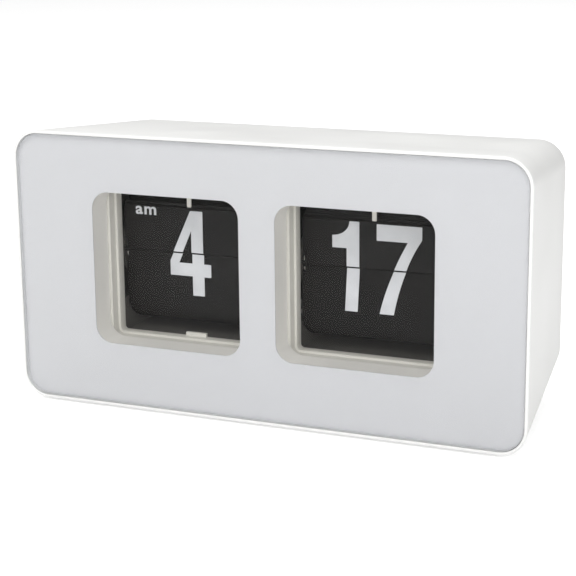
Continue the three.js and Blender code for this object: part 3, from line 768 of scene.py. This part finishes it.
def flat_outline(loops, shift_x, shift_y):
    """A filled two-dimensional curve from loops in millimetres, as a mesh facing forward."""
    curve = bpy.data.curves.new("outline", "CURVE")
    curve.dimensions = "2D"
    curve.fill_mode = "BOTH"
    for loop in loops:
        spline = curve.splines.new("POLY")
        spline.points.add(len(loop) - 1)
        for point, (x, y) in zip(spline.points, loop):
            point.co = ((x + shift_x) * MM, (y + shift_y) * MM, 0, 1)
        spline.use_cyclic_u = True
    return upright_ink(curve)


def small_letters(text, x, z, tall, widen):
    """Two small bold letters, such as am or pm, with their lower left corner at (x, z)."""
    words = bpy.data.curves.new("letters", "FONT")
    words.body = text
    words.size = tall * 1.86 * MM
    words.offset = 0.13 * MM
    words.space_character = 1.12
    mesh = upright_ink(words)
    mesh.transform(Matrix.Diagonal((widen, 1, 1, 1)))
    mesh.transform(Matrix.Translation((x * MM, 0, z * MM)))
    return mesh


def keep_half(mesh, upper):
    """Cuts the ink at the split line and keeps the half that its card carries."""
    shape = bmesh.new()
    shape.from_mesh(mesh)
    bmesh.ops.remove_doubles(shape, verts=shape.verts, dist=0.001 * MM)
    normal = (0, 0, -1) if upper else (0, 0, 1)
    line = SPLIT_GAP if upper else -SPLIT_GAP
    bmesh.ops.bisect_plane(shape, geom=shape.verts[:] + shape.edges[:] + shape.faces[:],
                           plane_co=(0, 0, line), plane_no=normal, clear_outer=True)
    bmesh.ops.holes_fill(shape, edges=shape.edges, sides=0)
    bmesh.ops.recalc_face_normals(shape, faces=shape.faces)
    shape.to_mesh(mesh)
    shape.free()
    return mesh


# %% [markdown]
# One card is a thin sheet with a small step near its hinge end on each side, where its pivot pins
# stand out. On a real drum the pins sit in holes in the end discs. The card is built standing up from its
# pivot, and then turned into place: upright before it falls, hanging down after.

# %% One card
PIN_RISE, PIN_REACH, CARD_STEP, STEP_RISE = 0.9 * MM, 0.25 * MM, 0.75 * MM, 4.2 * MM


def card_mesh(thick, length=LEAF_LENGTH, foot=0.15 * MM):
    """A card that stands on the line x and rises along z, in the plane y = 0."""
    half, tip = LEAF_HALF_WIDTH, length
    side = [(half + PIN_REACH, foot), (half + PIN_REACH, foot + PIN_RISE),
            (half - CARD_STEP, foot + PIN_RISE), (half - CARD_STEP, foot + STEP_RISE),
            (half, foot + STEP_RISE), (half, tip - 0.5 * MM), (half - 0.5 * MM, tip)]
    outline = side + [(-x, z) for x, z in reversed(side)]
    shape = bmesh.new()
    front = [shape.verts.new((x, -thick / 2, z)) for x, z in outline]
    back = [shape.verts.new((x, thick / 2, z)) for x, z in outline]
    shape.faces.new(front)
    shape.faces.new(reversed(back))
    for i in range(len(outline)):
        j = (i + 1) % len(outline)
        shape.faces.new((front[j], front[i], back[i], back[j]))
    bmesh.ops.recalc_face_normals(shape, faces=shape.faces)
    return take_mesh(shape, "card")


HALF_TURN = Matrix.Rotation(math.pi, 4, "X")


def face_prints(numbers, upper, surface):
    """The ink of one card face; numbers is a list of (outline, shift, rise) and `surface` its y."""
    inks = []
    for loops, shift, rise in numbers:
        ink = keep_half(flat_outline(loops, shift, rise), upper)
        ink.transform(Matrix.Translation((0, surface, 0)))
        inks.append(ink)
    return inks


def join_card(name, card, inks, place):
    """Joins a card and its ink into one mesh with two materials, moved to its place."""
    shape = bmesh.new()
    for index, mesh in enumerate([card, *inks]):
        before = len(shape.faces)
        shape.from_mesh(mesh)
        shape.faces.ensure_lookup_table()
        for face in shape.faces[before:]:
            face.material_index = min(index, 1)
        bpy.data.meshes.remove(mesh)
    mesh = take_mesh(shape, name)
    mesh.materials.append(BLACK)
    mesh.materials.append(INK)
    mesh.transform(place)
    mesh.update()
    return new_object(name, mesh)


# %% [markdown]
# ## What the cards show
#
# The clock stands at seventeen minutes past four in the morning. The upper cards carry the top
# halves of 4 and 17. Their backs carry the lower halves of the next numbers, 5 and 18, which come
# to light when they fall, and the cards behind them already show the top halves of 5 and 18.

# %% Layout of the printed numbers
AM_X, AM_Z, AM_TALL, AM_WIDEN = -20.6, 12.5, 3.0, 1.16


def digits(text, shifts=(0,), rise=0.0):
    return [(NUMERALS[digit](), shift, rise) for digit, shift in zip(text, shifts)]


PAIR = ((-7.35, 8.55), 0.3)
WHEELS = {
    "hour": {"x": LEFT_X, "now": digits("4"), "next": digits("5"), "mark": "am",
             "lean": 0.0, "count": 24},
    "minute": {"x": RIGHT_X, "now": digits("17", *PAIR), "next": digits("18", *PAIR),
               "mark": None, "lean": math.radians(8), "count": 60},
}
for name, wheel in WHEELS.items():
    print(name, "drum:", wheel["count"], "cards, one every", 360 / wheel["count"], "degrees")

# %% Upper, next and fallen cards
INK_FLOAT = 0.005 * MM
FALLEN_THICK, FALLEN_GAP, FALLEN_DROP = 0.3 * MM, 0.16 * MM, 0.1 * MM
INK_SEAT = LEAF_THICK / 2 + INK_THICK / 2 + INK_FLOAT
NEXT_GAP, NEXT_RISE, NEXT_FOOT = 0.5 * MM, 1.2 * MM, -1.0 * MM
PACK_BEHIND = 0.8 * MM


def at_pivot(wheel, y=LEAF_Y, z=SPLIT_Z):
    return Matrix.Translation((wheel["x"], y, z))


def mark_print(wheel):
    if not wheel["mark"]:
        return []
    letters = small_letters(wheel["mark"], AM_X, AM_Z, AM_TALL, AM_WIDEN)
    letters.transform(Matrix.Translation((0, -INK_SEAT, 0)))
    return [letters]


def make_upper_card(name, wheel):
    front = face_prints(wheel["now"], True, -INK_SEAT) + mark_print(wheel)
    back = face_prints(wheel["next"], False, -INK_SEAT)
    for ink in back:
        ink.transform(HALF_TURN)
    return join_card(f"{name}_card_falling", card_mesh(LEAF_THICK), front + back, at_pivot(wheel))


def make_next_card(name, wheel):
    """The card behind: its pivot is one step further up the drum."""
    step = 2 * math.pi / wheel["count"]
    behind = LEAF_Y + LEAF_THICK + NEXT_GAP
    rise = min(PIVOT_RADIUS * math.sin(step), NEXT_RISE)
    front = face_prints(wheel["next"], True, -INK_SEAT) + mark_print(wheel)
    return join_card(f"{name}_card_next", card_mesh(LEAF_THICK, LEAF_LENGTH + rise, NEXT_FOOT),
                     front, at_pivot(wheel, behind))


def make_fallen_card(name, wheel):
    front = face_prints(wheel["now"], False, -FALLEN_THICK / 2 - INK_THICK / 2 - INK_FLOAT)
    card = card_mesh(FALLEN_THICK)
    card.transform(HALF_TURN)
    lean = Matrix.Rotation(-wheel["lean"], 4, "X")
    place = at_pivot(wheel, LEAF_Y + LEAF_THICK / 2 + FALLEN_GAP + FALLEN_THICK / 2,
                     SPLIT_Z - FALLEN_DROP) @ lean
    return join_card(f"{name}_card_fallen", card, front, place)


for name, wheel in WHEELS.items():
    upper = make_upper_card(name, wheel)
    behind = make_next_card(name, wheel)
    fallen = make_fallen_card(name, wheel)
    hand_over(upper, f"{name}_leaf", "leaf_black", f"{name}_flip_leaf")
    hand_over(behind, "case", "leaf_black")
    hand_over(fallen, "case", "leaf_black", f"{name}_fallen_leaf")
    print(name, "cards made:", upper.name, behind.name, fallen.name)

# %% [markdown]
# ## The fan of cards, with Geometry Nodes
#
# The other cards sit round the drum. Over the top and down the back they trail behind their pivots,
# and below the axis they simply hang. That is one rule for sixty or twenty-four cards, so a node
# tree makes them: a row of points, one for each card, is bent round the pivot circle, and each
# point carries one card turned by the rule. Named inputs set the count, radius, trail and lean. In
# this model the fan belongs to the case and stays where it is when the drum turns.

# %% The node tree of the fan
def math_node(tree, operation, *values):
    node = tree.nodes.new("ShaderNodeMath")
    node.operation = operation
    for slot, value in enumerate(values):
        if isinstance(value, (int, float)):
            node.inputs[slot].default_value = value
        else:
            tree.links.new(value, node.inputs[slot])
    return node.outputs[0]


def add_input(tree, name, kind, value):
    socket = tree.interface.new_socket(name, in_out="INPUT", socket_type=kind)
    if value is not None:
        socket.default_value = value
    return socket.identifier


def copy_to_points(tree, points, pattern, turn, finish):
    """The end of both trees: a turned copy of the pattern on every point, all in one finish."""
    nodes, links = tree.nodes, tree.links
    source = nodes.new("GeometryNodeObjectInfo")
    links.new(pattern, source.inputs["Object"])
    put = nodes.new("GeometryNodeInstanceOnPoints")
    links.new(points, put.inputs["Points"])
    links.new(source.outputs["Geometry"], put.inputs["Instance"])
    links.new(turn.outputs["Vector"], put.inputs["Rotation"])
    real = nodes.new("GeometryNodeRealizeInstances")
    links.new(put.outputs["Instances"], real.inputs["Geometry"])
    paint = nodes.new("GeometryNodeSetMaterial")
    links.new(real.outputs["Geometry"], paint.inputs["Geometry"])
    links.new(finish, paint.inputs["Material"])
    links.new(paint.outputs["Geometry"], nodes.new("NodeGroupOutput").inputs[0])


def fan_tree():
    tree = bpy.data.node_groups.new("fan of cards", "GeometryNodeTree")
    tree.interface.new_socket("Geometry", in_out="OUTPUT", socket_type="NodeSocketGeometry")
    keys = {
        "count": add_input(tree, "Cards on the drum", "NodeSocketInt", 60),
        "radius": add_input(tree, "Pivot radius", "NodeSocketFloat", PIVOT_RADIUS),
        "trail": add_input(tree, "Trail", "NodeSocketFloat", 1.5),
        "lean": add_input(tree, "Lean of the front cards", "NodeSocketFloat", 0.0),
        "card": add_input(tree, "Card", "NodeSocketObject", None),
        "finish": add_input(tree, "Finish", "NodeSocketMaterial", None),
    }
    nodes, links = tree.nodes, tree.links
    given = nodes.new("NodeGroupInput").outputs
    count, radius = given["Cards on the drum"], given["Pivot radius"]
    row = nodes.new("GeometryNodeMeshLine")
    links.new(math_node(tree, "SUBTRACT", count, 3), row.inputs["Count"])
    index = nodes.new("GeometryNodeInputIndex").outputs[0]
    # the front card and the one behind it are made apart, and so is the last, fallen one
    step = math_node(tree, "DIVIDE", 2 * math.pi, count)
    angle = math_node(tree, "MULTIPLY", math_node(tree, "ADD", index, 2), step)
    place = nodes.new("ShaderNodeCombineXYZ")
    ahead = math_node(tree, "MULTIPLY", math_node(tree, "COSINE", angle), radius)
    # the foremost cards press against each other and stay behind the one on show
    ahead = math_node(tree, "MINIMUM", ahead, math_node(tree, "SUBTRACT", radius, PACK_BEHIND))
    links.new(math_node(tree, "MULTIPLY", ahead, -1), place.inputs["Y"])
    links.new(math_node(tree, "MULTIPLY", math_node(tree, "SINE", angle), radius),
              place.inputs["Z"])
    bent = nodes.new("GeometryNodeSetPosition")
    links.new(row.outputs["Mesh"], bent.inputs["Geometry"])
    links.new(place.outputs["Vector"], bent.inputs["Position"])
    # over the top: the trail power keeps the front cards nearly upright; below: they hang
    part = math_node(tree, "MINIMUM", math_node(tree, "DIVIDE", angle, math.pi), 1)
    trailing = math_node(tree, "MULTIPLY", math_node(tree, "POWER", part, given["Trail"]), math.pi)
    near_front = nodes.new("ShaderNodeMapRange")
    near_front.interpolation_type = "SMOOTHSTEP"
    near_front.inputs["From Min"].default_value = 1.55 * math.pi
    near_front.inputs["From Max"].default_value = 2 * math.pi
    links.new(angle, near_front.inputs["Value"])
    lean = math_node(tree, "MULTIPLY", near_front.outputs["Result"],
                     given["Lean of the front cards"])
    turn = nodes.new("ShaderNodeCombineXYZ")
    links.new(math_node(tree, "MULTIPLY", math_node(tree, "ADD", trailing, lean), -1),
              turn.inputs["X"])
    copy_to_points(tree, bent.outputs["Geometry"], given["Card"], turn, given["Finish"])
    return tree, keys


def grow(name, tree, keys, points=(), **values):
    """Runs a node tree with these inputs and keeps its result as a plain mesh."""
    item = new_object(name, bpy.data.meshes.new(name))
    item.data.from_pydata(points, [], [])
    maker = item.modifiers.new("made by nodes", "NODES")
    maker.node_group = tree
    for key, value in values.items():
        maker[keys[key]] = value
    return settle(item)


FAN, FAN_KEYS = fan_tree()
for name, wheel in WHEELS.items():
    pattern = new_object("pattern card", card_mesh(FALLEN_THICK))
    fan = grow(f"{name}_card_fan", FAN, FAN_KEYS, count=wheel["count"], radius=PIVOT_RADIUS,
               trail=1.5, lean=wheel["lean"], card=pattern, finish=BLACK)
    bpy.data.meshes.remove(pattern.data)
    fan.data.transform(Matrix.Translation((wheel["x"], AXIS_Y, SPLIT_Z)))
    hand_over(fan, "case", "leaf_black", f"{name}_leaf_pack")
    print(fan.name, "faces:", len(fan.data.polygons))

# %% [markdown]
# ## The back
#
# The back cover is a flat moulding that sits inside the rear rim. It carries the battery tray, a
# scoop from which the setting wheel peeps out, and four countersunk screw wells. Its sizes repeat
# those of the CAD node; the looks add the moulding radii that a faceted solid leaves out.

# %% Back cover
COVER_INNER, COVER_OUTER = 32.2 * MM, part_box("back_cover")[1].y
TRAY_HALF, TRAY_FRONT, TRAY_WALL = 28.6 * MM, 15.2 * MM, 1.2 * MM
TRAY_LOW, TRAY_HIGH = STAND + 15.8 * MM, STAND + 33.2 * MM
SCOOP_LEFT, SCOOP_RIGHT, SCOOP_HALF = 64 * MM, 75 * MM, 14.5 * MM
SCOOP_FLOOR, SCOOP_WALL = 30.2 * MM, 1.2 * MM
THUMBWHEEL_RADIUS, THUMBWHEEL_Y, SLOT_GAP = 16 * MM, 17.5 * MM, 0.6 * MM
WELL_RADIUS, WELL_DEPTH, HOLE_RADIUS = 3 * MM, 1.2 * MM, 1.4 * MM
wheel_low, wheel_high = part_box("setting_thumbwheel")
SCREW_X, SCREW_LOW, SCREW_HIGH = 75.5 * MM, STAND + 15.5 * MM, STAND + 80 * MM
COVER_SCREWS = [(x, z) for z in (SCREW_LOW, SCREW_HIGH) for x in (-SCREW_X, SCREW_X)]


def round_bar(name, x, z, radius, y0, y1, sides=32):
    points = circle(radius, sides)
    return loft(name, [[Vector((x + u, y, z + v)) for u, v in points] for y in (y0, y1)])


def make_cover():
    x, z, width, height, radius = section(BACK, WALL + 0.35 * MM)
    cover = loft("rear_cover", [ring(x, z, width, height, radius, COVER_INNER),
                                ring(x, z, width, height, radius, COVER_OUTER)])
    tray = block("tray", (-TRAY_HALF, TRAY_FRONT, TRAY_LOW), (TRAY_HALF, COVER_INNER + MM, TRAY_HIGH))
    scoop = block("scoop", (SCOOP_LEFT, SCOOP_FLOOR - SCOOP_WALL, SPLIT_Z - SCOOP_HALF),
                  (SCOOP_RIGHT, COVER_INNER + MM, SPLIT_Z + SCOOP_HALF))
    combine(cover, [tray, scoop], "UNION")
    inside = block("inside", (-TRAY_HALF + TRAY_WALL, TRAY_FRONT + TRAY_WALL, TRAY_LOW + TRAY_WALL),
                   (TRAY_HALF - TRAY_WALL, COVER_OUTER + MM, TRAY_HIGH - TRAY_WALL))
    dip = block("dip", (SCOOP_LEFT + SCOOP_WALL, SCOOP_FLOOR, SPLIT_Z - SCOOP_HALF + SCOOP_WALL),
                (SCOOP_RIGHT - SCOOP_WALL, COVER_OUTER + MM, SPLIT_Z + SCOOP_HALF - SCOOP_WALL))
    # the slot is as tall as the wheel is where it passes the inner face of the scoop
    inner_face = SCOOP_FLOOR - SCOOP_WALL - THUMBWHEEL_Y
    reach = math.sqrt(THUMBWHEEL_RADIUS ** 2 - inner_face ** 2) + SLOT_GAP
    slot = block("slot", (wheel_low.x - SLOT_GAP, SCOOP_FLOOR - 5 * MM, SPLIT_Z - reach),
                 (wheel_high.x + SLOT_GAP, COVER_OUTER, SPLIT_Z + reach))
    combine(cover, [inside, dip, slot], "DIFFERENCE")
    for x, z in COVER_SCREWS:
        well = round_bar("well", x, z, WELL_RADIUS, COVER_OUTER - WELL_DEPTH, COVER_OUTER + MM)
        hole = round_bar("hole", x, z, HOLE_RADIUS, COVER_INNER - MM, COVER_OUTER)
        combine(cover, [well, hole], "DIFFERENCE")
    return finish_mesh(soften(cover, 0.25 * MM, 2, 50), WHITE)


cover = make_cover()
hand_over(cover, "case", "case_plastic", "back_cover")
print("cover faces:", len(cover.data.polygons))

# %% Battery door with its thumb ridges
door_low, door_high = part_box("battery_door")


def make_door():
    door = block("battery_lid", door_low, door_high)
    soften(door, 0.3 * MM, 3)
    for step in range(5):
        z = door_high.z - (2.2 + 1.3 * step) * MM
        half = (8 - 0.9 * step) * MM
        cut = block("groove", (-half, door_high.y - 0.45 * MM, z), (half, door_high.y + MM, z + 0.6 * MM))
        combine(door, [cut], "DIFFERENCE")
    return finish_mesh(soften(door, 0.12 * MM, 2), WHITE)


hand_over(make_door(), "door", "case_plastic", "battery_door")

# %% [markdown]
# ## Screws, with Geometry Nodes
#
# The eight screws are alike but for their places: a pan head with a cross recess on a thin shank.
# One screw is modelled with its recess, and a small node tree sets it on every point of a list.

# %% Screws
def make_pattern_screw():
    """Head towards +y with its seat at y = 0."""
    head_radius, head_height, shank = 2.3 * MM, 1.0 * MM, 5.5 * MM
    profile = [(0.95 * MM, -shank), (1.0 * MM, 0), (head_radius - 0.1 * MM, 0),
               (head_radius, 0.15 * MM), (head_radius - 0.1 * MM, 0.6 * MM),
               (head_radius - 0.75 * MM, head_height)]
    rings = [[Vector((x, y, z)) for x, z in circle(radius, 28)] for radius, y in profile]
    screw = loft("pattern screw", rings)
    arm, half, floor = 1.35 * MM, 0.27 * MM, 0.35 * MM
    cross = [block("arm", (-arm, floor, -half), (arm, head_height + MM, half)),
             block("arm", (-half, floor, -arm), (half, head_height + MM, arm))]
    return finish_mesh(combine(screw, cross, "DIFFERENCE"), STEEL, 35)


def screws_tree():
    tree = bpy.data.node_groups.new("screws on points", "GeometryNodeTree")
    tree.interface.new_socket("Geometry", in_out="INPUT", socket_type="NodeSocketGeometry")
    tree.interface.new_socket("Geometry", in_out="OUTPUT", socket_type="NodeSocketGeometry")
    keys = {"screw": add_input(tree, "Screw", "NodeSocketObject", None),
            "finish": add_input(tree, "Finish", "NodeSocketMaterial", None),
            "spread": add_input(tree, "Turn of each screw", "NodeSocketFloat", 1.4),
            "seed": add_input(tree, "Seed", "NodeSocketInt", 5)}
    nodes, links = tree.nodes, tree.links
    given = nodes.new("NodeGroupInput").outputs
    chance = nodes.new("FunctionNodeRandomValue")
    links.new(given["Turn of each screw"], chance.inputs[3])
    links.new(given["Seed"], chance.inputs["Seed"])
    turn = nodes.new("ShaderNodeCombineXYZ")
    links.new(chance.outputs[1], turn.inputs["Y"])
    copy_to_points(tree, given["Geometry"], given["Screw"], turn, given["Finish"])
    return tree, keys


def set_screws(name, places, prefix):
    item = grow(name, SCREWS, SCREW_KEYS, places, screw=pattern_screw, finish=STEEL,
                spread=1.4, seed=len(name))
    finish_mesh(item, STEEL, 35)
    hand_over(item, "case", "steel", *[f"{prefix}_{number}" for number in (1, 2, 3, 4)])
    print(name, "screws set:", len(places))


pattern_screw = make_pattern_screw()
SCREWS, SCREW_KEYS = screws_tree()
set_screws("rear_screws", [(x, COVER_OUTER - 1.15 * MM, z) for x, z in COVER_SCREWS], "cover_screw")
FRAME_SCREW_X = 67.5 * MM
set_screws("frame_screws", [(x, FRAME_PLATE_BACK + 0.05 * MM, STAND + z * MM)
                            for z in (24, 74) for x in (-FRAME_SCREW_X, FRAME_SCREW_X)],
           "movement_screw")
bpy.data.meshes.remove(pattern_screw.data)

# %% [markdown]
# ## Feet
#
# Four turned rubber feet carry the clock. The rear ones are tall because the floor of the case rises
# towards the back. Each is a lathe profile with a rounded sole, trimmed by the sloping floor.

# %% Feet
def make_foot(name, node):
    low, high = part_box(node)
    x, y = (low.x + high.x) / 2, (low.y + high.y) / 2
    radius, sole = (high.x - low.x) / 2, 0.4 * MM
    profile = [(radius - 0.9 * MM, 0), (radius - 0.55 * MM, 0.1 * MM), (radius - 0.45 * MM, sole),
               (radius, high.z + MM)]
    rings = [[Vector((x + u, y + v, z)) for u, v in circle(r, 32)] for r, z in profile]
    foot = loft(name, rings)
    above = loft("floor of the case", [case_ring(FRONT), case_ring(BACK)])
    above.data.transform(Matrix.Translation((0, 0, -0.1 * MM)))
    return finish_mesh(combine(foot, [above], "DIFFERENCE"), RUBBER, 40)


for end in ("front", "rear"):
    for side in ("left", "right"):
        foot = make_foot(f"{end}_pad_{side}", f"{end}_foot_{side}")
        hand_over(foot, "case", "foot_rubber", f"{end}_foot_{side}")

# %% [markdown]
# ## Floor and light
#
# A sheet of white paper, an even surround and four large soft lights: a key above the front, a
# broad one for the face, one above the back that whitens the top, and a weak one for the right side,
# which stays a little greyer. Two things are set for the camera alone and are not how light behaves:
# the surround looks brighter than the light that it gives, and the paper glows, so that the ground
# is an even white.

# %% Floor
def camera_value(tree, others, camera):
    """One value for rays from the camera and another for all other rays."""
    seen = tree.nodes.new("ShaderNodeLightPath")
    value = tree.nodes.new("ShaderNodeMapRange")
    value.inputs["To Min"].default_value = others
    value.inputs["To Max"].default_value = camera
    tree.links.new(seen.outputs["Is Camera Ray"], value.inputs["Value"])
    return value.outputs["Result"]


FLOOR_GLOW = 0.5


def make_floor():
    reach = 12.0
    mesh = bpy.data.meshes.new("paper_floor")
    mesh.from_pydata([(-reach, -reach, 0), (reach, -reach, 0), (reach, reach, 0), (-reach, reach, 0)],
                     [], [(0, 1, 2, 3)])
    paper = new_finish("white_paper", tint(252, 252, 252), 0.9, Emission_Color=(1, 1, 1, 1))
    tree = paper.node_tree
    tree.links.new(camera_value(tree, 0, FLOOR_GLOW),
                   tree.nodes["Principled BSDF"].inputs["Emission Strength"])
    vary_tone(paper, 3, tint(251, 251, 251), tint(253, 253, 253))
    mesh.materials.append(paper)
    new_object("paper_floor", mesh)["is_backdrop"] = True


make_floor()


# %% Surround and lights
SURROUND_LIGHT, SURROUND_SEEN = 0.43, 1.1


def make_surround():
    surround = bpy.data.worlds.new("white tent")
    surround.use_nodes = True
    tree = surround.node_tree
    backdrop = tree.nodes["Background"]
    backdrop.inputs["Color"].default_value = (1, 1, 1, 1)
    tree.links.new(camera_value(tree, SURROUND_LIGHT, SURROUND_SEEN), backdrop.inputs["Strength"])
    bpy.context.scene.world = surround


def soft_light(name, place, target, size, power):
    data = bpy.data.lights.new(name, "AREA")
    data.shape = "RECTANGLE"
    data.size, data.size_y = size
    data.energy = power
    lamp = bpy.data.objects.new(name, data)
    bpy.context.scene.collection.objects.link(lamp)
    turn = (Vector(target) - Vector(place)).to_track_quat("-Z", "Y").to_matrix().to_4x4()
    lamp.matrix_world = Matrix.Translation(place) @ turn


make_surround()
soft_light("key light", (-0.1, -0.8, 1.2), (0, 0, 0), (0.9, 0.9), 8.2)
soft_light("face light", (0.5, -1.15, 0.4), (0, 0, 0.04), (1.0, 0.8), 4.2)
soft_light("top light", (-0.3, 0.5, 1.2), (0, 0, 0), (0.8, 0.8), 6.4)
soft_light("side light", (1.2, -0.3, 0.5), (0, 0, 0.05), (0.7, 0.7), 1.5)
bpy.context.scene.view_settings.view_transform = "Standard"
print("lights:", [lamp.name for lamp in bpy.data.lights])

# %% [markdown]
# ## Sizes, and the end
# Both boxes, of the mechanical model and of the looks, are printed side by side. The looks
# may not outgrow the mechanical model.

# %% Write the sizes and finish
looks_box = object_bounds()
for name, box in (("CAD", cad_box), ("looks", looks_box)):
    print(name, [round((high - low) / MM, 2) for low, high in zip(*box)], "mm")
